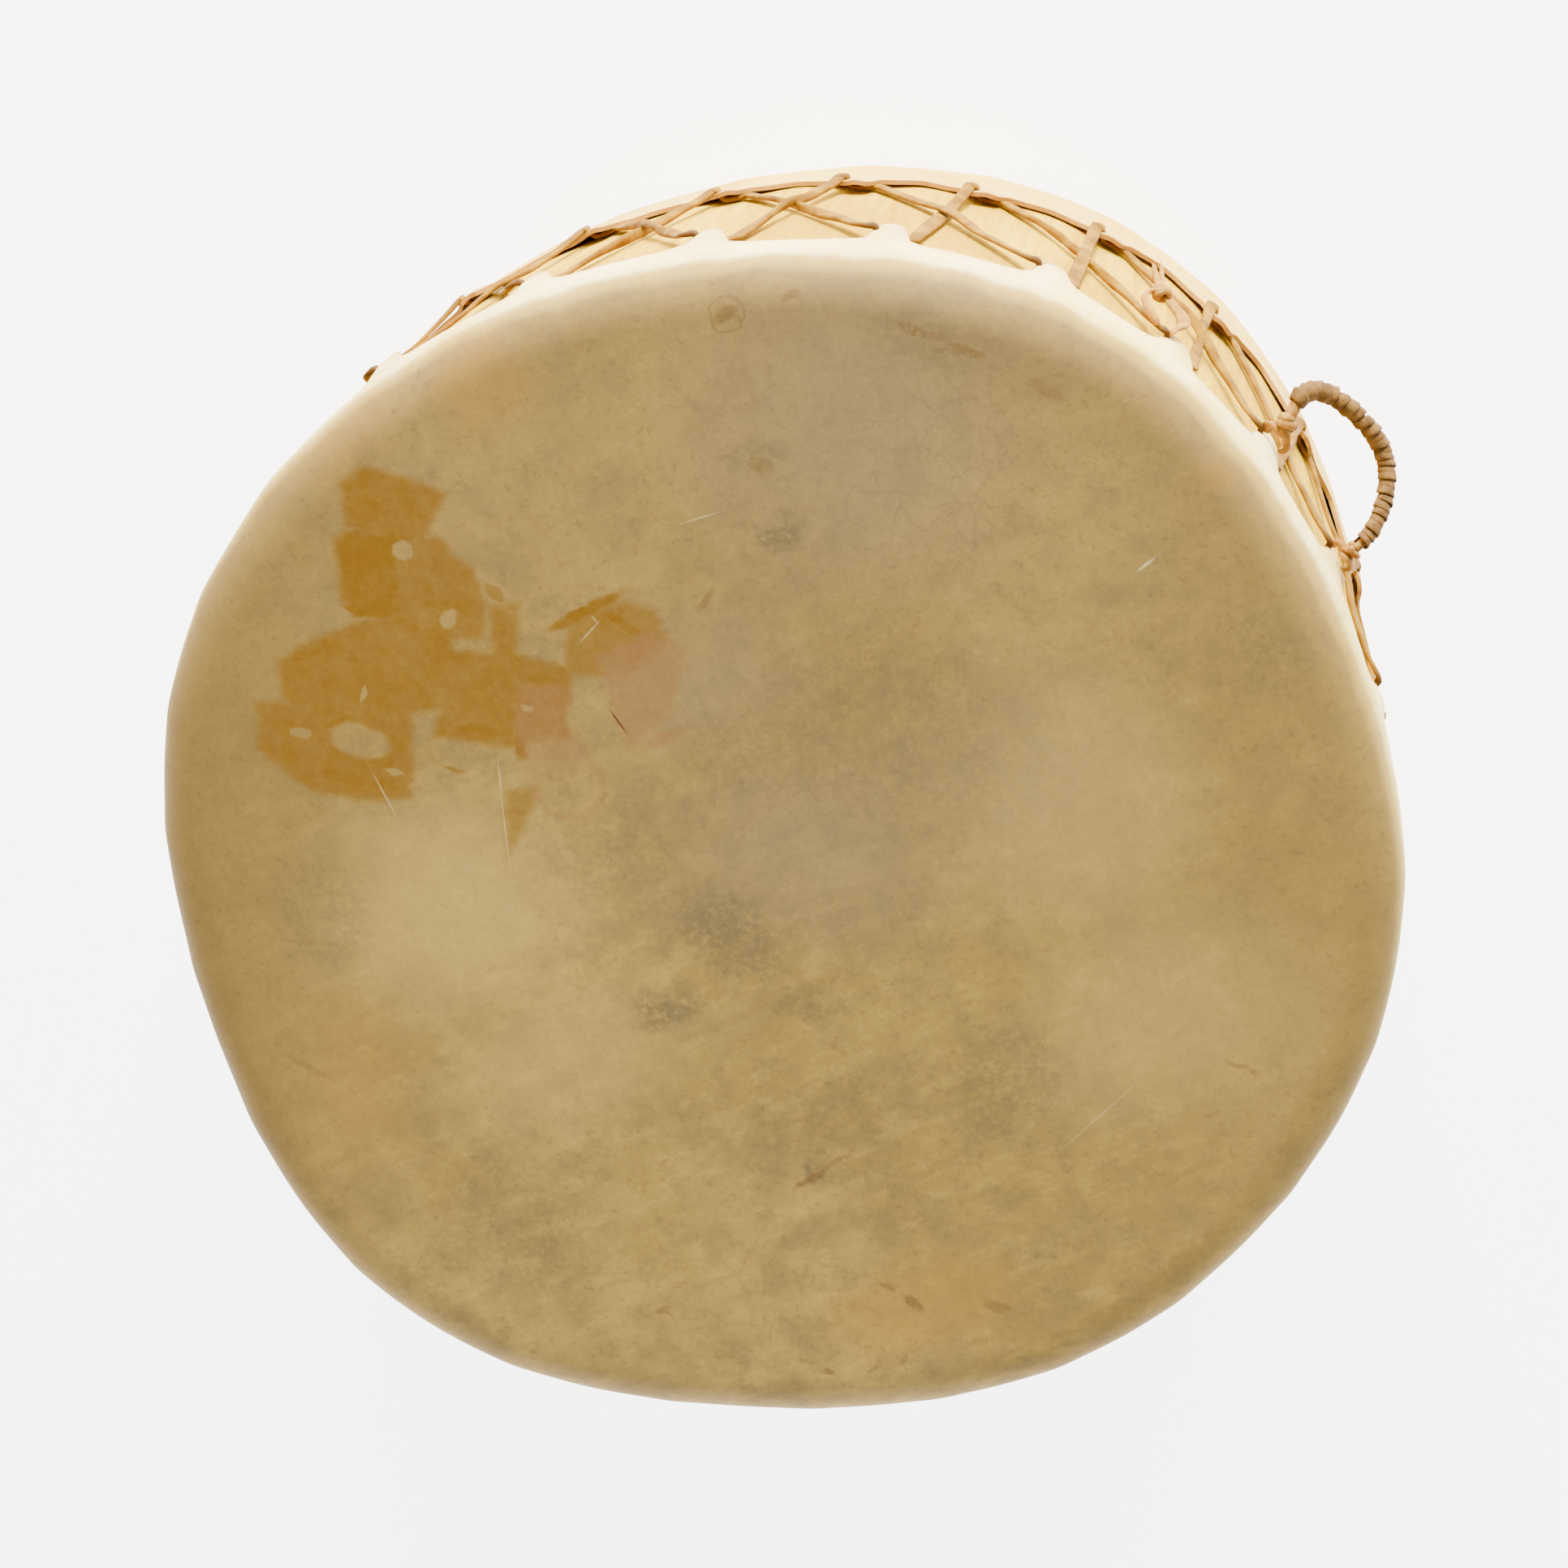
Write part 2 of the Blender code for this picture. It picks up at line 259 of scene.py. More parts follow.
FRONT = Skirt(FRONT_ROW, FRONT_CREEP, FRONT_TONGUE, FRONT_SCALLOP, 0.32, 0.0045, 0.0085, True)
BACK = Skirt(BACK_ROW, BACK_CREEP, BACK_TONGUE, BACK_SCALLOP, 0.62, 0.0065, 0.0060, False)


# Mesh helpers

def alone(piece):
    bpy.ops.object.select_all(action="DESELECT")
    piece.select_set(True)
    bpy.context.view_layer.objects.active = piece


def rolled(name, columns, rows, place, weld=0.00003):
    """A grid whose corners move to place(column, row), with its seams and poles merged."""
    bpy.ops.object.select_all(action="DESELECT")
    bpy.ops.mesh.primitive_grid_add(x_subdivisions=columns, y_subdivisions=rows, size=2)
    piece = bpy.context.object
    piece.name = name
    piece.data.name = name
    for corner in piece.data.vertices:
        column = round((corner.co.x + 1) / 2 * columns)
        row = round((corner.co.y + 1) / 2 * rows)
        corner.co = place(column, row)
    bpy.ops.object.mode_set(mode="EDIT")
    bpy.ops.mesh.select_all(action="SELECT")
    bpy.ops.mesh.remove_doubles(threshold=weld)
    bpy.ops.mesh.normals_make_consistent(inside=False)
    bpy.ops.object.mode_set(mode="OBJECT")
    bpy.ops.object.shade_smooth()
    return piece


def apply_modifier(piece, kind, **settings):
    alone(piece)
    modifier = piece.modifiers.new(kind.lower(), kind)
    for key, value in settings.items():
        setattr(modifier, key, value)
    bpy.ops.object.modifier_apply(modifier=modifier.name)


# Heads

DISC_ROWS = 14
SHOULDER_ROWS = 9
SKIRT_ROWS = 16
COLUMNS_PER_TIE = 22


def crowded(column):
    """Lacing index of a column: columns crowd together at the tongues."""
    share = column / COLUMNS_PER_TIE
    return share - 0.62 * sin(2 * pi * share) / (2 * pi)


def make_head(name, skirt):
    columns = TIES * COLUMNS_PER_TIE
    rows = DISC_ROWS + SHOULDER_ROWS + SKIRT_ROWS
    indices = [crowded(column % columns) for column in range(columns + 1)]
    up = 1 if skirt.from_top else -1

    def place(column, row):
        index = indices[column]
        angle = skirt.angle(index)
        side = skirt.aside(index)[0]
        if row <= DISC_ROWS:
            share = sin(pi / 2 * row / DISC_ROWS)
            rim = outline(angle, skirt.height(0)) - SHOULDER_REACH
            point = out_from_axis(angle) * rim * share
            point.z = skirt.height(0)
            sway = FACE_SWAY * (1 - share ** 6) * waver(Vector((point.x, point.y, 0)), 0.09)
            point.z += -FACE_DISH * (1 - share ** 4) * up + (sway if skirt.from_top else 0)
            return point
        if row <= DISC_ROWS + SHOULDER_ROWS:
            turn = pi / 2 * (row - DISC_ROWS) / SHOULDER_ROWS
            inset, drop = shoulder(turn)
            point = wall_point(angle, inset, skirt.height(drop))
            pleat = PLEAT * sin(turn) ** 2 * exp(-(side / PLEAT_HALF) ** 2)
            swell = SWAY * sin(turn) * waver(point, SWAY_SIZE)
            return point + out_from_axis(angle) * (pleat + swell)
        share = (row - DISC_ROWS - SHOULDER_ROWS) / SKIRT_ROWS
        drop = SHOULDER + (skirt.edge(index) - SHOULDER) * share
        return skirt.outside(index, drop)

    piece = rolled(name, columns, rows, place, 0.00002)
    apply_modifier(piece, "SOLIDIFY", thickness=SKIN - 0.0002, offset=-1, use_rim=True)
    bpy.ops.object.shade_smooth_by_angle(angle=radians(50))
    return piece


# The shell

def make_shell():
    columns = 400
    seat = SKIN + CLEARANCE
    front = [shoulder(pi / 2 * step / 8, seat) for step in range(2, 9)]
    front = [(inset, DEPTH - drop) for inset, drop in front]
    wall = [(seat, DEPTH - SHOULDER + (2 * SHOULDER - DEPTH) * step / 24) for step in range(1, 24)]
    back = [(inset, DEPTH - height) for inset, height in reversed(front)]
    inner = seat + SHELL_WALL
    inside = [(inner, DEPTH - front[0][1]), (inner, DEPTH / 2), (inner, front[0][1]), front[0]]
    profile = front + wall + back + inside

    def place(column, row):
        inset, height = profile[row]
        angle = 360 * (column % columns) / columns
        point = wall_point(angle, inset, height)
        worked = smooth(height, 0.02, 0.04) * (1 - smooth(height, DEPTH - 0.04, DEPTH - 0.02))
        grain = Vector((point.x, point.y, point.z * 0.25))
        hollow = 0.0002 + 0.0002 * waver(grain, 0.05) + 0.00012 * waver(grain, 0.012)
        return point - out_from_axis(angle) * hollow * worked

    return rolled("log_shell", columns, len(profile) - 1, place)


# Thongs

SQUARENESS = 0.6
SECTION = 12
LACING_STEPS = 4
# How far along a strand its stations lie, and how many half turns one strand after another makes
STRAND_SHARES = (0.08, 0.2, 0.32, 0.42, 0.5, 0.58, 0.68, 0.8, 0.92)
STRAND_TWISTS = (0, 1, 0, 2, 1, 0, 1)


def squared(value):
    """A cosine or sine pushed outward, which makes a circle into a rounded box."""
    return abs(value) ** SQUARENESS * (1 if value > 0 else -1)


def strap_section(middle, wide, high, width, thickness, sides):
    """Corners of a strap's rounded section across two directions."""
    turns = [2 * pi * side / sides for side in range(sides)]
    return [middle + wide * squared(cos(turn)) * width / 2 + high * squared(sin(turn)) * thickness / 2
            for turn in turns]


def strap_ring(place, along, outward, roll, width, thickness):
    """Corners of the lacing's section, flat side outward when roll is 0."""
    across = along.cross(outward).normalized()
    face = across.cross(along).normalized()
    wide = across * cos(roll) + face * sin(roll)
    high = face * cos(roll) - across * sin(roll)
    return strap_section(place, wide, high, width, thickness, SECTION)


def lacing_path():
    """Stations along the endless thong: x, y, z, roll, width, thickness, knuckle shade (painted shade where
    it goes under a tongue).
    """
    stations = []
    turn_total = 0

    def add(angle, height, lift, roll, width=THONG_WIDTH, thickness=THONG_THICKNESS, knuckle=0.0):
        inset = SKIN + CLEARANCE - lift - thickness / 2
        point = wall_point(angle, inset, height)
        stations.append((point.x, point.y, point.z, roll, width, thickness, knuckle))

    for step in range(2 * TIES):
        here = FRONT if step % 2 == 0 else BACK
        next_skirt = BACK if step % 2 == 0 else FRONT
        roll = turn_total * pi
        angle = here.angle(step)
        level = here.height(here.tongue - PASS_COVER)
        # Under the tongue and out at its right
        # How much painted shade the thong gets where it goes into the slit under a tongue: full at the front
        # row, less at the back.
        dark = 1.0 if here.from_top else 0.35
        add(angle + here.in_aside * 0.66 * DEGREES_PER_METRE, level, 0.0042, roll, 0.0048, 0.0022, dark)
        add(angle + here.in_aside * 0.46 * DEGREES_PER_METRE, level, 0.0022, roll, 0.0044, 0.0020, dark)
        add(angle + here.in_aside * 0.14 * DEGREES_PER_METRE, level, THONG_LIFT, roll)
        add(angle - 0.0035 * DEGREES_PER_METRE, level, THONG_LIFT, roll)
        out_angle = angle - 0.0080 * DEGREES_PER_METRE
        in_angle = next_skirt.angle(step + 1) + next_skirt.in_aside * DEGREES_PER_METRE
        in_level = next_skirt.height(next_skirt.tongue - PASS_COVER)
        toward = 0.0006 if here.from_top else -0.0006
        add(out_angle, level - toward, THONG_LIFT + 0.0002, roll)
        # The strand to the other row
        tie = step % TIES
        over = (tie % 2 == 0) == (step % 2 == 0)
        twists = STRAND_TWISTS[(step * 3) % len(STRAND_TWISTS)]
        if step == 2 * TIES - 1 and (turn_total + twists) % 2:
            twists += 1
        middle = 0.0030 if over else 0.0008
        roped = min(1.0, 0.8 * twists)
        for share in STRAND_SHARES:
            near = exp(-((share - 0.5) / 0.16) ** 2)
            ends = smooth(share, 0.62, 0.97)
            lift = 0.0009 + (middle - 0.0009) * near + 0.0026 * ends
            lean = 0.12 * sin(5 * share + step)
            turned = roll + lean + pi * twists * smooth(share, 0.12, 0.88)
            tight = roped * smooth(share, 0.05, 0.3) * (1 - smooth(share, 0.7, 0.95))
            width = THONG_WIDTH * (1 - 0.34 * tight) * (1 + 0.08 * sin(3.1 * step + 7 * share))
            thickness = THONG_THICKNESS * (1 + 0.45 * tight)
            # Painted shade: the strand darkens towards its end, where it goes under the next tongue.
            add(out_angle + share * (in_angle - out_angle), level + share * (in_level - level),
                lift + 0.0009 * tight, turned, width, thickness, 0.25 * ends * dark)
        turn_total += twists
        arrive = next_skirt.lift(step + 1.0, next_skirt.tongue - PASS_COVER) + SKIN
        add(in_angle, in_level, min(0.0045, arrive), turn_total * pi, 0.0048, 0.0018, 0.6)
    return stations, turn_total


def make_lacing():
    stations, turns = lacing_path()
    count = len(stations)
    # The strap comes back to its start having turned over some whole times
    wound = [stations[index % count][:3] + (stations[index % count][3] + turns * pi * (index // count),)
             + stations[index % count][4:] for index in range(count + 2)]
    before = stations[-1]
    unrolled = [before[:3] + (before[3] - turns * pi,) + before[4:]] + wound
    read = []
    for start in range(1, count + 1):
        four = unrolled[start - 1:start + 3]
        for step in range(LACING_STEPS):
            read.append(between(four, step / LACING_STEPS))
    places = [Vector(station[:3]) for station in read]
    rings = []
    for index, station in enumerate(read):
        place = places[index]
        along = (places[(index + 1) % len(places)] - places[index - 1]).normalized()
        outward = Vector((place.x, place.y, 0)).normalized()
        rings.append(strap_ring(place, along, outward, *station[3:6]))
    piece = rolled("thong_lacing", len(rings), SECTION,
                   lambda column, row: rings[column % len(rings)][row % SECTION], 0.00002)
    return piece, [station[6] for station in read]


def mark_knuckles(piece, values):
    """Writes the thong's painted shade, where it goes into the slits under the tongues, to its corners, read
    by how far along each lies.
    """
    count = len(values)
    worn = [values[round(corner.uv.x * count) % count] for corner in piece.data.uv_layers.active.data]
    piece.data.attributes.new("knuckle", "FLOAT", "CORNER").data.foreach_set("value", worn)


def between(four, t):
    """A station on the smooth curve between the middle two of four stations."""
    weights = (
        -0.5 * t + t * t - 0.5 * t ** 3,
        1 - 2.5 * t * t + 1.5 * t ** 3,
        0.5 * t + 2 * t * t - 1.5 * t ** 3,
        -0.5 * t * t + 0.5 * t ** 3,
    )
    return tuple(sum(weight * value for weight, value in zip(weights, values)) for values in zip(*four))


# Materials

class Field:
    """A number that varies over a surface. Arithmetic on it adds maths nodes."""

    def __init__(self, paint, socket):
        self.paint = paint
        self.socket = socket

    def maths(self, operation, *others, clamp=False):
        settings = {"operation": operation, "use_clamp": clamp}
        made = self.paint.node("ShaderNodeMath", settings, dict(enumerate((self, *others))))
        return Field(self.paint, made.outputs[0])

    def __add__(self, other):
        return self.maths("ADD", other)

    __radd__ = __add__

    def __mul__(self, other):
        return self.maths("MULTIPLY", other)

    __rmul__ = __mul__

    def __sub__(self, other):
        return self.maths("SUBTRACT", other)

    def __rsub__(self, other):
        return (self * -1) + other

    def __truediv__(self, other):
        return self.maths("DIVIDE", other)

    def __pow__(self, other):
        return self.maths("POWER", other)

    def above(self, other):
        return self.maths("MAXIMUM", other)

    def below(self, other):
        return self.maths("MINIMUM", other)

    def size(self):
        return self.maths("ABSOLUTE")

    def step(self, low, high, start=0.0, end=1.0):
        """Eased from start to end as the value goes from low to high."""
        settings = {"interpolation_type": "SMOOTHSTEP"}
        inputs = {"Value": self, "From Min": low, "From Max": high, "To Min": start, "To Max": end}
        made = self.paint.node("ShaderNodeMapRange", settings, inputs)
        return Field(self.paint, made.outputs["Result"])


class Paint:
    """One material, built node by node."""

    def __init__(self, name):
        self.material = bpy.data.materials.new(name)
        self.material.use_nodes = True
        self.tree = self.material.node_tree
        self.tree.nodes.clear()
        self.shader = self.node("ShaderNodeBsdfPrincipled")
        self.node("ShaderNodeOutputMaterial", {}, {"Surface": self.shader.outputs["BSDF"]})
        coordinates = self.node("ShaderNodeTexCoord")
        self.place = coordinates.outputs["Object"]
        self.x, self.y, self.z = self.split(self.place)
        self.u, self.v, _ = self.split(coordinates.outputs["UV"])

    def node(self, kind, settings=None, inputs=None):
        """Adds a node, gives it its settings, then its inputs."""
        made = self.tree.nodes.new(kind)
        for key, value in (settings or {}).items():
            setattr(made, key, value)
        for key, value in (inputs or {}).items():
            self.feed(made.inputs[key], value)
        return made

    def feed(self, socket, value):
        if isinstance(value, Field):
            value = value.socket
        if isinstance(value, bpy.types.NodeSocket):
            self.tree.links.new(value, socket)
        elif socket.type == "RGBA":
            socket.default_value = (*value, 1)
        else:
            socket.default_value = value

    def split(self, vector):
        parts = self.node("ShaderNodeSeparateXYZ", {}, {"Vector": vector})
        return [Field(self, part) for part in parts.outputs]

    def join(self, x, y, z):
        return self.node("ShaderNodeCombineXYZ", {}, {"X": x, "Y": y, "Z": z}).outputs["Vector"]

    def along(self, vector, direction):
        """How far a vector reaches in a direction."""
        made = self.node("ShaderNodeVectorMath", {"operation": "DOT_PRODUCT"}, {0: vector, 1: direction})
        return Field(self, made.outputs["Value"])

    def placed(self, texture, place=(0, 0, 0), turn=0.0, scale=(1, 1, 1)):
        """Gives a texture node a moved, turned and scaled frame of its own."""
        texture.texture_mapping.vector_type = "TEXTURE"
        texture.texture_mapping.translation = place
        texture.texture_mapping.rotation = (0, 0, turn)
        texture.texture_mapping.scale = scale
        return Field(self, texture.outputs["Fac"])

    def grain(self, size, detail=3, roughness=0.5, turn=0.0, stretch=(1, 1, 1)):
        """Noise of about 0 to 1 with lumps of a size in metres, drawn out along some directions."""
        inputs = {"Vector": self.place, "Scale": 1 / size, "Detail": detail, "Roughness": roughness}
        return self.placed(self.node("ShaderNodeTexNoise", {}, inputs), turn=turn, scale=stretch)

    def cracks(self, size, vector, width):
        """1 along the borders between cells of a size, 0 past a width given as a share of it."""
        settings = {"feature": "DISTANCE_TO_EDGE"}
        made = self.node("ShaderNodeTexVoronoi", settings, {"Vector": vector, "Scale": 1 / size})
        return (width - Field(self, made.outputs["Distance"])).step(0, width * 0.64)

    def blend(self, factor, first, second):
        """One colour over another by a factor."""
        made = self.node("ShaderNodeMix", {"data_type": "RGBA"})
        colours = [socket for socket in made.inputs if socket.type == "RGBA"]
        self.feed(made.inputs[0], factor)
        self.feed(colours[0], first)
        self.feed(colours[1], second)
        return [socket for socket in made.outputs if socket.type == "RGBA"][0]

    def toned(self, colour, value):
        """A colour made lighter or darker by a factor that varies."""
        inputs = {0: colour, "Scale": value}
        return self.node("ShaderNodeVectorMath", {"operation": "SCALE"}, inputs).outputs[0]

    def finish(self, colour, roughness, bumps, **constants):
        """Joins colour, roughness and bumps of (height, distance in metres) to the shader."""
        self.feed(self.shader.inputs["Base Color"], colour)
        self.feed(self.shader.inputs["Roughness"], roughness)
        normal = None
        for height, distance in bumps:
            inputs = {"Height": height, "Distance": distance, "Strength": 1.0}
            if normal:
                inputs["Normal"] = normal
            normal = self.node("ShaderNodeBump", {}, inputs).outputs["Normal"]
        if normal:
            self.feed(self.shader.inputs["Normal"], normal)
        for key, value in constants.items():
            self.shader.inputs[key.replace("_", " ")].default_value = value
        return self.material


# Marks on the playing head, in the photograph's pixels. Patches have corners, strokes two ends
# and half a width, rings a middle, a radius and half a width, and ovals a middle, two half
# sizes and a turn. All but the clearings and clear ovals end with how strong they are.

TAPE_PATCHES = (
    (((430, 600), (447, 583), (475, 590), (537, 612), (520, 652), (505, 664), (455, 656), (432, 640)), 0.86),
    (((419, 670), (432, 662), (487, 665), (480, 756), (442, 752), (429, 735)), 1.0),
    (((485, 672), (530, 668), (575, 705), (592, 745), (588, 780), (520, 785), (476, 760)), 0.78),
    (((352, 818), (372, 803), (472, 765), (540, 760), (560, 815), (548, 868), (372, 880), (355, 850)), 0.84),
    (((325, 873), (365, 873), (372, 930), (342, 936), (327, 920)), 0.78),
    (((358, 880), (500, 878), (500, 976), (440, 979), (385, 966), (345, 935)), 0.84),
    (((563, 810), (640, 815), (695, 830), (694, 902), (620, 912), (546, 902)), 0.86),
    (((611, 755), (632, 753), (628, 810), (613, 808)), 0.8),
    (((705, 790), (712, 765), (770, 748), (800, 760), (814, 788), (772, 822), (705, 826)), 0.72),
    (((630, 985), (662, 978), (642, 1012), (632, 1050)), 0.65),
)
TAPE_STROKES = (
    ((520, 742), (583, 748), 9, 0.85),
    ((580, 752), (545, 781), 9, 0.8),
    ((358, 815), (395, 800), 7, 0.95),
    ((402, 896), (440, 884), 7, 0.95),
    ((352, 915), (364, 940), 10, 0.95),
    ((372, 950), (494, 968), 12, 0.9),
    ((555, 895), (640, 904), 8, 0.95),
    ((638, 900), (643, 930), 8, 0.95),
    ((516, 640), (532, 620), 9, 0.9),
    ((602, 726), (618, 738), 7, 0.7),
    ((682, 773), (762, 734), 8, 1.0),
    ((745, 756), (800, 786), 8, 0.95),
    ((547, 945), (570, 952), 3, 0.75),
    ((430, 748), (455, 756), 8, 1.0),
)
TAPE_CLEARINGS = (
    ((443, 914), (37, 22), -10),
    ((370, 903), (13, 7), 0),
    ((497, 678), (13, 12), 0),
    ((552, 762), (13, 10), 25),
    ((648, 872), (7, 5), 0),
    ((485, 951), (11, 5), -20),
    ((448, 855), (3, 12), -20),
)
PINK_PATCHES = (
    (((745, 815), (800, 788), (835, 800), (857, 850), (822, 876), (812, 922), (782, 925), (765, 890)), 0.85),
    (((648, 852), (690, 850), (718, 900), (722, 930), (652, 932), (640, 900)), 0.6),
)
PINK_STROKES = (
    ((795, 921), (838, 902), 8, 0.75),
    ((755, 915), (770, 920), 7, 0.6),
    ((672, 945), (706, 940), 18, 0.5),
)
PINK_RINGS = (((700, 968), 43, 5, 0.5),)
STAIN_RINGS = (((895, 388), 21, 1.6, 0.55),)
CLEAR_OVALS = (((733, 900), (44, 24), -38),)
PALE_SCRATCHES = (
    ((461, 956), (488, 1005), 0.9, 0.5),
    ((614, 940), (618, 985), 0.8, 0.5),
    ((618, 985), (627, 1060), 0.8, 0.45),
    ((717, 789), (736, 768), 0.9, 0.5),
    ((736, 768), (730, 760), 0.9, 0.5),
    ((843, 644), (882, 632), 0.9, 0.5),
    ((1310, 1415), (1395, 1340), 0.8, 0.3),
    ((1404, 702), (1420, 690), 1.6, 0.8),
)
RED_SCRATCHES = (
    ((752, 876), (771, 902), 1.1, 0.9),
)
BROWN_STROKES = (
    ((1090, 1583), (1102, 1590), 5, 0.7),
    ((1118, 1600), (1134, 1612), 7, 0.9),
    ((1217, 1608), (1238, 1612), 7, 0.6),
    ((1016, 1690), (1024, 1691), 5, 0.8),
    ((1074, 1690), (1084, 1684), 4, 0.5),
    ((1109, 1678), (1118, 1672), 4, 0.5),
    ((814, 1617), (822, 1614), 4, 0.6),
    ((883, 394), (900, 383), 7, 0.75),
    ((970, 366), (980, 362), 5, 0.6),
    ((1112, 402), (1128, 410), 6, 0.7),
    ((1130, 408), (1165, 418), 5, 0.55),
    ((1170, 424), (1212, 438), 5, 0.75),
    ((1150, 432), (1200, 436), 4, 0.5),
    ((1272, 472), (1300, 486), 7, 0.5),
    ((1515, 1308), (1552, 1322), 4, 0.55),
    ((864, 749), (876, 731), 5, 0.6),
    ((980, 1465), (1020, 1440), 5, 0.85),
    ((1016, 1444), (1050, 1418), 4, 0.5),
    ((355, 1160), (425, 1165), 3, 0.35),
    ((352, 1300), (408, 1330), 5, 0.45),
    ((930, 572), (945, 576), 9, 0.45),
)
SMUDGES = (
    ((1004, 1450), (16, 11), 0, 1.0),
    ((957, 655), (34, 20), 0, 0.75),
    ((935, 562), (42, 20), 0, 0.45),
    ((900, 1150), (75, 50), -30, 0.65),
    ((820, 1245), (42, 30), 15, 0.75),
    ((1010, 1235), (45, 22), 10, 0.45),
    ((1240, 1330), (70, 90), -20, 0.5),
    ((1000, 1400), (130, 60), 10, 0.35),
    ((750, 1050), (110, 70), 10, 0.3),
    ((1080, 900), (160, 120), 0, 0.3),
    ((1150, 420), (80, 32), -15, 0.4),
    ((640, 1500), (120, 90), 30, 0.3),
    ((400, 1130), (60, 90), 0, 0.35),
    ((1560, 800), (60, 60), 0, 0.35),
    ((900, 930), (60, 60), 0, 0.3),
)
WARM_AREAS = (
    ((1140, 1610), (110, 55), 20, 0.7),
    ((590, 470), (50, 60), 0, 0.6),
    ((1505, 590), (28, 18), 0, 0.5),
    ((440, 1330), (60, 110), 0, 0.4),
    ((400, 520), (80, 60), 40, 0.35),
)
COOL_AREAS = (
    ((1060, 520), (150, 190), -20, 0.75),
    ((880, 850), (120, 90), 20, 0.55),
    ((1240, 960), (130, 150), 60, 0.35),
    ((1000, 1040), (170, 120), 10, 0.7),
)
CRACKED_AREAS = (
    ((1150, 560), (130, 150), -30, 0.9),
    ((930, 560), (70, 120), 0, 0.5),
)
LIGHT_AREAS = (
    ((560, 1120), (150, 130), 20, 0.8),
    ((700, 1300), (150, 90), 25, 0.5),
    ((1330, 1000), (130, 150), 20, 0.6),
    ((1420, 1250), (160, 120), 30, 0.55),
)


def mean_pixel(corners):
    return tuple(sum(values) / len(corners) for values in zip(*corners))


def polygon_mark(paint, spread, corners, strength, soft):
    """As strong as given inside a convex outline, 0 outside, with an edge of soft metres."""
    middle = on_face(*mean_pixel(corners))
    outside = None
    places = [on_face(*corner) for corner in corners]
    for here, there in zip(places, places[1:] + places[:1]):
        run = (there - here).normalized()
        normal = Vector((run.y, -run.x, 0))
        if normal.dot(middle - here) > 0:
            normal = -normal
        beyond = paint.along(spread, normal) - (normal.dot(here) + soft)
        outside = outside.above(beyond) if outside else beyond
    return outside.step(soft, -soft, 0, strength)


def nearness(paint, spread, place, size, turn):
    """1 in the middle of an oval, falling evenly to 0 at its edge."""
    made = paint.node("ShaderNodeTexGradient", {"gradient_type": "SPHERICAL"}, {"Vector": spread})
    return paint.placed(made, (place.x, place.y, 0), turn, (*size, 1))


def oval_mark(paint, spread, middle, half, turn, strength, soft):
    """As strong as given inside an oval, 0 outside. Sizes are in pixels and the turn in degrees."""
    size = [pixels * PIXEL * (1 + soft) for pixels in half]
    near = nearness(paint, spread, on_face(*middle), size, radians(turn))
    return near.step(0, 2 * soft / (1 + soft), 0, strength)


def stroke_mark(paint, spread, start, end, half_width, strength, soft):
    """As strong as given along a long spot between two pixels, fading off past its half width."""
    here = on_face(*start)
    there = on_face(*end)
    run = there - here
    size = ((run.length / 2 + half_width * PIXEL) * (1 + soft), half_width * PIXEL * (1 + soft))
    heading = asin(run.y / run.length) if run.x >= 0 else pi - asin(run.y / run.length)
    near = nearness(paint, spread, (here + there) / 2, size, heading)
    return near.step(0, 2 * soft / (1 + soft), 0, strength)


def strongest(*groups):
    """The greatest of all marks, each joined in as soon as it is made."""
    whole = None
    for mark in chain(*groups):
        whole = whole.above(mark) if whole else mark
    return whole


def ring_mark(paint, spread, middle, radius, half_width, strength):
    size = (radius * 2 * PIXEL, radius * 2 * PIXEL)
    near = nearness(paint, spread, on_face(*middle), size, 0)
    width = half_width / radius / 2
    return (near - 0.5).size().step(width * 1.5, width * 0.4, 0, strength)


def shaken(paint, size, amount):
    """The place on the face, pushed about by noise, for marks with uneven edges."""
    drift = paint.node("ShaderNodeTexNoise", {}, {"Vector": paint.place, "Scale": 1 / size, "Detail": 3})
    inputs = {0: drift.outputs["Color"], 1: (0.5,) * 3}
    centred = paint.node("ShaderNodeVectorMath", {"operation": "SUBTRACT"}, inputs)
    push = paint.toned(centred.outputs[0], amount)
    flat = paint.join(paint.x, paint.y, 0)
    moved = paint.node("ShaderNodeVectorMath", {"operation": "ADD"}, {0: flat, 1: push})
    x, y, _ = paint.split(moved.outputs[0])
    return paint.join(x, y, 0)


# Colours of the marks, linear red, green and blue
LIGHT_HIDE = (0.48, 0.32, 0.082)
COOL_HIDE = (0.245, 0.175, 0.078)
WARM_HIDE = (0.37, 0.19, 0.032)
GREY_SMUDGE = (0.135, 0.098, 0.044)
DARK_CRACK = (0.20, 0.125, 0.055)
BROWN_STAIN = (0.17, 0.095, 0.030)
OLD_TAPE = (0.208, 0.096, 0.006)
PINK_STAIN = (0.27, 0.132, 0.044)
PALE_SCRATCH = (0.62, 0.48, 0.22)
RED_SCRATCH = (0.10, 0.012, 0.008)


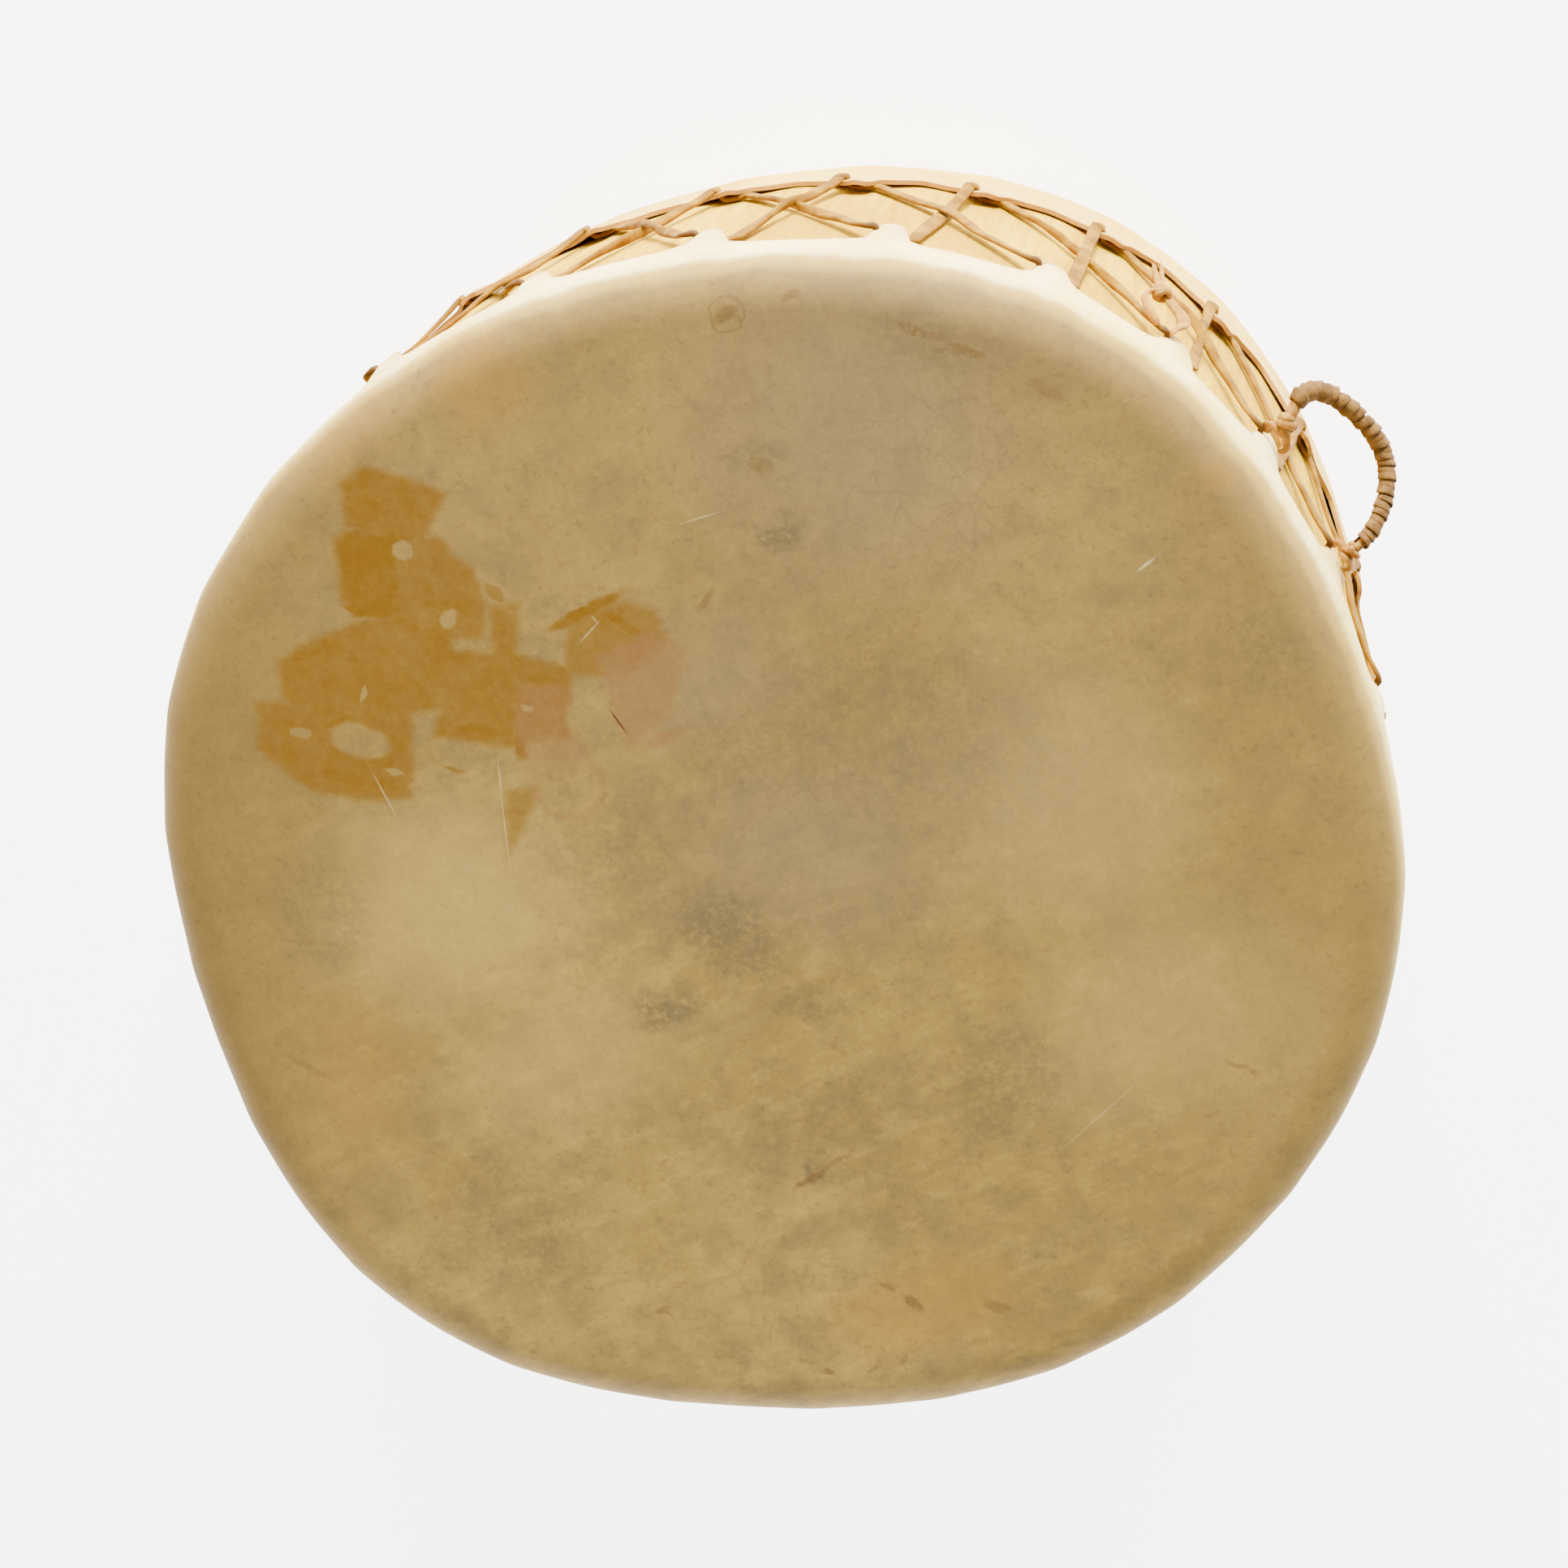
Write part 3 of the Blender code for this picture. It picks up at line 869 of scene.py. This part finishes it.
def marked_face(paint, khaki, face):
    """The playing head's colour with its stains, tape residue and scratches."""
    crisp = shaken(paint, 0.006, 0.0048)
    loose = shaken(paint, 0.014, 0.018)
    blotch = paint.grain(0.007, 3, 0.65)
    speckle = paint.grain(0.0026, 4, 0.7)

    def areas(rows, soft):
        return strongest(oval_mark(paint, loose, *row, soft) for row in rows)

    khaki = paint.blend(areas(LIGHT_AREAS, 0.7) * 0.8, khaki, LIGHT_HIDE)
    khaki = paint.blend(areas(COOL_AREAS, 0.8) * 0.7, khaki, COOL_HIDE)
    khaki = paint.blend(areas(WARM_AREAS, 0.6) * 0.8, khaki, WARM_HIDE)
    broken = areas(SMUDGES, 0.5) * speckle.step(0.30, 0.56) * blotch.step(0.20, 0.52)
    khaki = paint.blend(broken, khaki, GREY_SMUDGE)
    crack = paint.cracks(0.011, loose, 0.055) * areas(CRACKED_AREAS, 0.6) * speckle.step(0.3, 0.55)
    khaki = paint.blend(crack * 0.45, khaki, DARK_CRACK)

    def patches(rows, soft):
        return (polygon_mark(paint, crisp, corners, strength, soft) for corners, strength in rows)

    def strokes(rows, spread, soft):
        return (stroke_mark(paint, spread, *row, soft) for row in rows)

    def rings(rows):
        return (ring_mark(paint, crisp, *row) for row in rows)

    def clearings(rows):
        return strongest(oval_mark(paint, crisp, *row, 1, 0.2) for row in rows)

    brown = strongest(strokes(BROWN_STROKES, crisp, 0.35), rings(STAIN_RINGS))
    khaki = paint.blend(brown * speckle.step(0.2, 0.55), khaki, BROWN_STAIN)
    open_spot = 1 - clearings(CLEAR_OVALS)
    tape = strongest(patches(TAPE_PATCHES, 0.0026), strokes(TAPE_STROKES, crisp, 0.35))
    tape = tape * (1 - clearings(TAPE_CLEARINGS)) * (0.50 + 0.95 * blotch)
    khaki = paint.blend((tape * open_spot).below(1), khaki, OLD_TAPE)
    pink = strongest(patches(PINK_PATCHES, 0.0022), strokes(PINK_STROKES, crisp, 0.6), rings(PINK_RINGS))
    khaki = paint.blend(pink * open_spot * 0.8, khaki, PINK_STAIN)
    bare = paint.join(paint.x, paint.y, 0)
    pale = strongest(strokes(PALE_SCRATCHES, bare, 0.6))
    khaki = paint.blend(pale, khaki, PALE_SCRATCH)
    red = strongest(strokes(RED_SCRATCHES, bare, 0.5))
    return paint.blend(red * face, khaki, RED_SCRATCH)


def dress(piece, material):
    piece.data.materials.clear()
    piece.data.materials.append(material)


def rawhide(name, from_top):
    paint = Paint(name)
    z = paint.z if from_top else DEPTH - paint.z
    broad = paint.grain(0.11, 3)
    patchy = paint.grain(0.030, 4, 0.6)
    speck = paint.grain(0.0022, 3, 0.65)
    fibre = paint.grain(0.004, 3, 0.6, radians(25), (1, 5, 1))
    edge_noise = (paint.grain(0.02, 2) - 0.5) * 0.004
    # The mask here is 1 on the side the key light falls on (towards +y) and 0 on the side away from it; it
    # places painted light and painted shade on the heads.
    lit_side = (paint.y * 0.9 + paint.x * 0.3 + edge_noise * 8).step(-0.02, 0.19)
    # On the side away from the key light the khaki face reaches further over the shoulder: painted shade.
    face = (z + edge_noise + 0.004 * (1 - lit_side)).step(DEPTH - 0.0088, DEPTH - 0.0026)

    khaki = paint.blend(broad.step(0.35, 0.65), (0.275, 0.172, 0.039), (0.345, 0.222, 0.052))
    streak = paint.grain(0.2, 3, 0.5, radians(28), (0.09, 0.026, 0.02))
    # Painted light: the lighter streaks grow stronger towards -y, so the face is lighter on the side away
    # from the key light.
    low = 1 - (paint.y + 0.4 * paint.x).step(-0.12, 0.08)
    khaki = paint.blend(streak.step(0.46, 0.70) * (0.16 + 0.26 * low), khaki, (0.47, 0.300, 0.060))
    khaki = paint.blend(patchy.step(0.46, 0.68) * 0.62, khaki, (0.215, 0.142, 0.047))
    cloud = paint.grain(0.013, 4, 0.7)
    khaki = paint.blend(cloud.step(0.48, 0.68) * 0.62, khaki, (0.205, 0.136, 0.046))
    khaki = paint.blend((1 - cloud).step(0.50, 0.72) * 0.35, khaki, (0.47, 0.302, 0.066))
    # The skirt's cream is partly the hide's own cleaner colour and partly painted light: further down it is
    # kept only on the side the key light falls on.
    pale, golden = ((0.94, 0.77, 0.32), (0.86, 0.62, 0.16)) if from_top else (
        (0.72, 0.47, 0.06), (0.60, 0.36, 0.03))
    cream = paint.blend(patchy.step(0.35, 0.7), pale, golden)
    down = (paint.v - 0.62).step(0, 0.37)
    cream = paint.blend(down * 0.35, cream, (0.66, 0.42, 0.10))
    stain = paint.grain(0.040, 2, 0.65)
    cream = paint.blend(stain.step(0.50, 0.70) * 0.50, cream, (0.66, 0.42, 0.085))
    crease = paint.grain(0.006, 3, 0.6, stretch=(1, 1, 7))
    cream = paint.blend(crease.step(0.56, 0.74) * 0.35, cream, (0.60, 0.37, 0.075))
    tie = (paint.u * TIES + 0.5).maths("FRACT") - 0.5
    pulled = tie.size().step(0.30, 0.05) * (paint.v - 0.75).step(0, 0.2)
    cream = paint.blend(pulled * patchy.step(0.3, 0.6) * 0.55, cream, (0.44, 0.24, 0.045))
    # Painted shade: on the side away from the key light the cream skirt and shoulder are painted a darker
    # tan.
    cream = paint.blend((1 - lit_side) * 0.92, cream, (0.40, 0.255, 0.050))
    rim = paint.v.step(0.965, 0.995)
    cream = paint.blend(rim * 0.75, cream, (0.38, 0.17, 0.025))
    # Painted shade: the face is darker towards +y, where the key light falls on it most.
    khaki = paint.blend(paint.y.step(0.0, 0.22) * 0.45, khaki, (0.26, 0.165, 0.056))
    # Painted shade: the face darker towards its left and right edges, and more at the left shoulder, where
    # the key light only grazes.
    khaki = paint.blend(paint.x.size().step(0.11, 0.215) * 0.55, khaki, (0.265, 0.165, 0.042))
    khaki = paint.blend((0 - paint.x).step(0.13, 0.225) * 0.65, khaki, (0.20, 0.120, 0.030))
    fleck = paint.grain(0.0034, 3, 0.75)
    khaki = paint.blend(fleck.step(0.55, 0.68) * 0.42, khaki, (0.17, 0.105, 0.034))
    if from_top:
        khaki = marked_face(paint, khaki, face)
    colour = paint.blend(face, cream, khaki)
    # Painted light: a golden band where the lit shoulder turns into the face, on the side the key light
    # falls on.
    painted_lit_brow = face * (1 - face) * 4 * lit_side
    colour = paint.blend(painted_lit_brow * 0.75, colour, (0.43, 0.26, 0.042))
    # Painted shadow: a dark spot beside each tongue, standing in for the shade inside a slit that the skin
    # does not have.
    slit = ((tie + 0.17) / 0.07) ** 2 + ((paint.v - 0.955) / 0.022) ** 2
    colour = paint.blend(slit.step(1.1, 0.5) * 0.9, colour, (0.045, 0.022, 0.008))
    colour = paint.toned(colour, 0.78 + 0.33 * speck + 0.12 * fibre)
    roughness = 0.50 + 0.18 * patchy
    bumps = [(paint.grain(0.0028, 4, 0.65), 0.00005), (crease * (1 - face), 0.0005)]
    return paint.finish(colour, roughness, bumps, Specular_IOR_Level=0.08)


def bare_wood():
    paint = Paint("bare_wood")
    streak = paint.grain(0.003, 4, 0.6, stretch=(1, 1, 16))
    broad = paint.grain(0.05, 3)
    fleck = paint.grain(0.0016, 2, 0.5, stretch=(1, 1, 5))
    colour = paint.blend(streak.step(0.3, 0.75), (0.65, 0.405, 0.020), (0.47, 0.260, 0.006))
    colour = paint.blend(broad.step(0.4, 0.75) * 0.6, colour, (0.40, 0.205, 0.002))
    colour = paint.blend(fleck.step(0.62, 0.74) * 0.5, colour, (0.25, 0.12, 0.008))
    return paint.finish(colour, 0.78 + 0.12 * streak, [(streak, 0.0003)], Specular_IOR_Level=0.02)


def rawhide_thong():
    paint = Paint("rawhide_thong")
    reading = paint.node("ShaderNodeAttribute", {"attribute_name": "knuckle"})
    knuckle = Field(paint, reading.outputs["Fac"])
    patchy = paint.grain(0.009, 3)
    speck = paint.grain(0.0014, 3, 0.6)
    colour = paint.blend(patchy.step(0.35, 0.65), (0.29, 0.145, 0.004), (0.170, 0.073, 0.002))
    border = ((paint.v * 2 - 1).size() - 0.5).size().step(0.34, 0.5)
    colour = paint.blend(border * 0.45, colour, (0.13, 0.048, 0.003))
    # Painted shade: the thong darker where it goes into the slits under the tongues and towards the ends of
    # each strand.
    colour = paint.blend(knuckle.step(0.2, 0.9) * 0.85, colour, (0.070, 0.029, 0.012))
    colour = paint.toned(colour, 0.88 + 0.2 * speck)
    bumps = [(paint.grain(0.0016, 3), 0.0002)]
    return paint.finish(colour, 0.55 + 0.2 * patchy, bumps, Specular_IOR_Level=0.05)


def cord_rawhide(name, dark, light):
    paint = Paint(name)
    patchy = paint.grain(0.004, 4, 0.6)
    fibre = paint.grain(0.0008, 3, 0.6, radians(40), (1, 4, 1))
    colour = paint.blend(patchy.step(0.35, 0.68), dark, light)
    colour = paint.toned(colour, 0.72 + 0.5 * fibre)
    return paint.finish(colour, 0.58 + 0.15 * patchy, [(fibre, 0.0002)], Specular_IOR_Level=0.12)


def pale_floor():
    paint = Paint("pale_floor")
    soft = paint.grain(0.4, 2)
    colour = paint.blend(soft, (0.93, 0.93, 0.93), (0.95, 0.95, 0.95))
    glow = {"Emission_Color": (1, 1, 1, 1), "Emission_Strength": 5.0}
    return paint.finish(colour, 0.9, [], Specular_IOR_Level=0.1, **glow)


# Floor and light

def make_floor():
    bpy.ops.object.select_all(action="DESELECT")
    bpy.ops.mesh.primitive_plane_add(size=8)
    floor_piece = bpy.context.object
    floor_piece.name = "floor"
    dress(floor_piece, pale_floor())


def area_light(name, azimuth, elevation, distance, size, power):
    lamp = bpy.data.lights.new(name, "AREA")
    lamp.shape = "DISK"
    lamp.size = size
    lamp.energy = power
    light = bpy.data.objects.new(name, lamp)
    bpy.context.scene.collection.objects.link(light)
    middle = Vector((0, 0, DEPTH / 2))
    toward = out_from_axis(azimuth) * cos(radians(elevation)) + Vector((0, 0, sin(radians(elevation))))
    light.location = middle + toward * distance
    light.rotation_euler = toward.to_track_quat("Z", "Y").to_euler()


def make_light():
    world = bpy.data.worlds.new("studio")
    world.use_nodes = True
    background = world.node_tree.nodes["Background"]
    background.inputs["Color"].default_value = (1, 1, 1, 1)
    background.inputs["Strength"].default_value = 0.80
    bpy.context.scene.world = world
    area_light("key", 86, 8, 5.0, 2.8, 1750)
    area_light("fill", -100, 14, 5.0, 3.0, 300)


# The handle and the loop

HANDLE_TIE = 6
HANDLE_RISE = 0.0285
HANDLE_BULGE = 2.5
HANDLE_FOOT_DROP = 0.029
HANDLE_DROP = 0.045
HANDLE_LIFT = 0.0046
CORE_START = 0.0023
CORE_END = 0.0015
BIND_SECTION = 10


def handle_place(share):
    """A point of the handle's cord, from the upper foot to the lower one."""
    start = FRONT.angle(HANDLE_TIE)
    end = FRONT.angle(HANDLE_TIE + 1)
    turn = pi * share
    angle = start + (end - start) * (1 - cos(turn)) / 2 + HANDLE_BULGE * max(0.0, sin(2 * turn)) ** 2
    drop = HANDLE_FOOT_DROP + (HANDLE_DROP - HANDLE_FOOT_DROP) * sin(turn) ** 2
    return wall_point(angle, -HANDLE_LIFT - HANDLE_RISE * sin(turn), FRONT.height(drop))


def cord_mesh(name, places, radii, sides=BIND_SECTION, roll=0.0, flat=1.0):
    """A tube along places, rounded off at both ends. flat below 1 presses it into a strap."""
    last = len(places) - 1
    rings = []
    across = None
    for index, place in enumerate(places):
        along = (places[min(last, index + 1)] - places[max(0, index - 1)]).normalized()
        if across is None:
            across = along.orthogonal().normalized()
        across = (across - along * across.dot(along)).normalized()
        third = along.cross(across)
        wide = across * cos(roll * index) + third * sin(roll * index)
        high = third * cos(roll * index) - across * sin(roll * index)
        end = min(index, last - index)
        radius = radii[index] * (0.0, 0.6, 0.9)[end] if end < 3 else radii[index]
        rings.append([place + wide * radius * cos(2 * pi * side / sides)
                      + high * radius * flat * sin(2 * pi * side / sides) for side in range(sides)])
    return rolled(name, last, sides, lambda column, row: rings[column][row % sides], 0.000005)


def through(points, steps):
    """Places along a smooth open curve through points."""
    ends = [points[0] * 2 - points[1], *points, points[-1] * 2 - points[-2]]
    read = []
    for index in range(len(points) - 1):
        read += [Vector(between(ends[index:index + 4], step / steps)) for step in range(steps)]
    return read + [points[-1]]


def join(name, parts):
    alone(parts[0])
    for part in parts[1:]:
        part.select_set(True)
    bpy.ops.object.join()
    parts[0].name = name
    parts[0].data.name = name
    return parts[0]


def handle_frame(share):
    place = handle_place(share)
    along = (handle_place(share + 0.002) - handle_place(share - 0.002)).normalized()
    side = along.cross(Vector((0, 0, 1))).normalized()
    return place, along, side, side.cross(along)


def core_radius(share):
    return CORE_START + (CORE_END - CORE_START) * share


WRAP_TURNS = 27
WRAP_SPAN = (0.165, 0.90)
WRAP_STEPS = 26
WRAP_WIDTH = 0.0043
WRAP_THICKNESS = 0.00075


def make_wrap():
    """One strap wound round the cord, each turn lapping over the one before."""
    rings = []
    total = WRAP_TURNS * WRAP_STEPS
    for step in range(total + 1):
        turn = step / WRAP_STEPS
        eased = turn + 0.10 * sin(2.1 * turn) + 0.06 * sin(5.3 * turn)
        share = WRAP_SPAN[0] + (WRAP_SPAN[1] - WRAP_SPAN[0]) * eased / WRAP_TURNS
        place, along, side, up = handle_frame(share)
        spin = 2 * pi * turn
        outward = side * cos(spin) + up * sin(spin)
        slant = radians(11 + 3 * sin(1.3 * turn))
        wide = along * cos(slant) + outward * sin(slant)
        high = outward * cos(slant) - along * sin(slant)
        width = WRAP_WIDTH * (1 + 0.12 * sin(1.9 * turn)) * (1 - 0.12 * share)
        thick = WRAP_THICKNESS * (1 - 0.25 * share) * (1 + 0.2 * waver(place, 0.003))
        reach = core_radius(share) + 0.0006 + 0.0002 * sin(3.7 * turn) + 0.0002 * waver(place, 0.002)
        middle = place + outward * (reach + thick / 2)
        end = min(step, total - step)
        trim = (0.02, 0.7)[end] if end < 2 else 1.0
        rings.append(strap_section(middle, wide, high, width * trim, thick * trim, BIND_SECTION))
    return rolled("handle_binding", total, BIND_SECTION,
                  lambda column, row: rings[column][row % BIND_SECTION], 0.000005)


def coil(middle, axis, out, radius, length, turns, steps=14):
    """Places along a coil round an axis."""
    third = axis.cross(out)
    places = []
    for step in range(int(turns * steps) + 1):
        turn = step / steps
        spin = 2 * pi * turn
        along = axis * length * (turn / turns - 0.5)
        places.append(middle + along + (out * cos(spin) + third * sin(spin)) * radius)
    return places


def make_core():
    """The handle's cord, the twisted strap at its upper foot and the knots at its lower one."""
    shares = [0.02 + 0.96 * step / 90 for step in range(91)]
    parts = [cord_mesh("handle_cord", [handle_place(share) for share in shares],
                       [core_radius(share) for share in shares])]
    upper = FRONT.angle(HANDLE_TIE)
    lower = FRONT.angle(HANDLE_TIE + 1)

    def spot(angle, aside, lift, drop):
        return wall_point(angle + aside * DEGREES_PER_METRE, -lift, FRONT.height(drop))

    # The first turn of the binding, wide and apart from the others
    place, along, side, up = handle_frame(0.085)
    turns = coil(place, along, side, core_radius(0) + 0.0007, 0.0040, 1.9)
    parts.append(cord_mesh("first_turn", turns, [0.0017] * len(turns), flat=0.55))
    # The strap that comes out of the slit and twists up to the cord
    strap = through([spot(upper, 0.0040, 0.0030, 0.0345), spot(upper, 0.0046, 0.0062, 0.0325),
                     spot(upper, 0.0030, 0.0085, 0.0300), handle_place(0.05), handle_place(0.09)], 8)
    parts.append(cord_mesh("foot_strap", strap, [0.0022] * len(strap), roll=0.09, flat=0.5))
    second = through([spot(upper, -0.0045, 0.0030, 0.0335), spot(upper, -0.0052, 0.0060, 0.0315),
                      spot(upper, -0.0026, 0.0082, 0.0292), handle_place(0.06)], 8)
    parts.append(cord_mesh("foot_strap_end", second, [0.0014] * len(second), flat=0.6))
    # The lower foot: turns round the cord, a knot and its tail
    place, along, side, up = handle_frame(0.945)
    for offset, radius, turn_count, thick in ((0.0, 0.0022, 1.6, 0.0014), (0.0028, 0.0024, 1.3, 0.0013)):
        turns = coil(place + along * offset, along, up, radius, 0.0030, turn_count)
        parts.append(cord_mesh("knot_turn", turns, [thick] * len(turns), flat=0.8))
    tail = through([place, place + side * 0.0018 + up * 0.0030, place + side * 0.0022 + up * 0.0062], 6)
    parts.append(cord_mesh("knot_tail", tail, [0.0011] * len(tail)))
    for aside, lift, drop, back in ((0.0042, 0.0062, 0.0335, 0.97), (-0.0046, 0.0060, 0.0345, 0.955)):
        tie = through([spot(lower, aside, 0.0032, drop), spot(lower, aside * 1.15, lift, drop - 0.002),
                       handle_place(back)], 8)
        parts.append(cord_mesh("foot_tie", tie, [0.0013] * len(tie), flat=0.7, roll=0.06))
    return join("handle_cord", parts)


LOOP_TIE = 5
LOOP_ASIDE = 1.95
LOOP_RISE = 0.0075
LOOP_LEAN = 0.0213
LOOP_SWAY = 0.0072
# Points of the ring's two sides: metres along the wall, and shares of its rise
LOOP_LEFT = ((0.0020, -0.05), (0.0062, 0.18), (0.0076, 0.42), (0.0044, 0.66), (0.0006, 0.74))
LOOP_RIGHT = ((-0.0034, -0.05), (-0.0050, 0.12), (-0.0086, 0.36), (-0.0076, 0.58), (-0.0008, 0.76))
LOOP_KNOT = 0.75


def make_loop():
    """A ring of translucent lace standing off the wall, with its knot and forked tail."""
    angle = FRONT.angle(LOOP_TIE) + LOOP_ASIDE
    foot = wall_point(angle, -0.0045, FRONT.height(0.0315))
    aside = Vector((-sin(radians(angle)), cos(radians(angle)), 0))
    rise = out_from_axis(angle) * LOOP_RISE + Vector((0, 0, -LOOP_LEAN)) + aside * LOOP_SWAY
    left, right = (through([foot + aside * across + rise * up for across, up in side], 9)
                   for side in (LOOP_LEFT, LOOP_RIGHT))
    left_radii = [0.0014 + 0.0003 * sin(0.2 * step) for step in range(len(left))]
    right_radii = [0.0021 - 0.0004 * cos(0.17 * step) for step in range(len(right))]
    parts = [
        cord_mesh("ring_left", left, left_radii, flat=0.8),
        cord_mesh("ring_right", right, right_radii, roll=0.035, flat=0.42),
    ]
    middle = foot + rise * LOOP_KNOT
    axis = rise.normalized()
    for tilt, radius, length in ((0.0, 0.0026, 0.0030), (0.7, 0.0023, 0.0020)):
        lean = (axis + aside * tilt).normalized()
        out = lean.orthogonal().normalized()
        turns = coil(middle, lean, out, radius, length, 1.5)
        parts.append(cord_mesh("knot", turns, [0.0014] * len(turns), flat=0.8))
    for spread, reach, thick in ((0.0035, 0.60, 0.0013), (-0.0004, 0.85, 0.0010)):
        bend = middle + aside * spread * 0.4 + rise * 0.12
        tail = through([middle, bend, middle + aside * spread + rise * reach], 6)
        parts.append(cord_mesh("tail", tail, [thick] * len(tail), flat=0.7))
    return join("lace_loop", parts)


make_camera()
make_floor()
make_light()
front_head = make_head("playing_head_skin", FRONT)
back_head = make_head("back_head_skin", BACK)
log_shell = make_shell()
lacing, knuckles = make_lacing()

mark_knuckles(lacing, knuckles)
dress(front_head, rawhide("playing_rawhide", True))
dress(back_head, rawhide("back_rawhide", False))
dress(log_shell, bare_wood())
dress(lacing, rawhide_thong())

handle_cord = make_core()
binding = make_wrap()
lace = make_loop()
dress(handle_cord, cord_rawhide("cord_rawhide", (0.24, 0.10, 0.014), (0.40, 0.20, 0.035)))
dress(binding, cord_rawhide("binding_rawhide", (0.10, 0.046, 0.009), (0.21, 0.105, 0.024)))
dress(lace, cord_rawhide("lace_rawhide", (0.34, 0.145, 0.016), (0.50, 0.27, 0.045)))

dressed = (
    (front_head, "front_head", "front_rawhide"),
    (back_head, "back_head", "back_rawhide"),
    (log_shell, "shell", "shell_wood"),
    (lacing, "lacing", "lacing_thong"),
    (handle_cord, "handle_core", "handle_cord"),
    (binding, "handle_wrap", "wrapping_thong"),
    (lace, "lace_loop", "loop_thong"),
)
for piece, node, slot in dressed:
    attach(piece, "root")
    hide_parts(node)
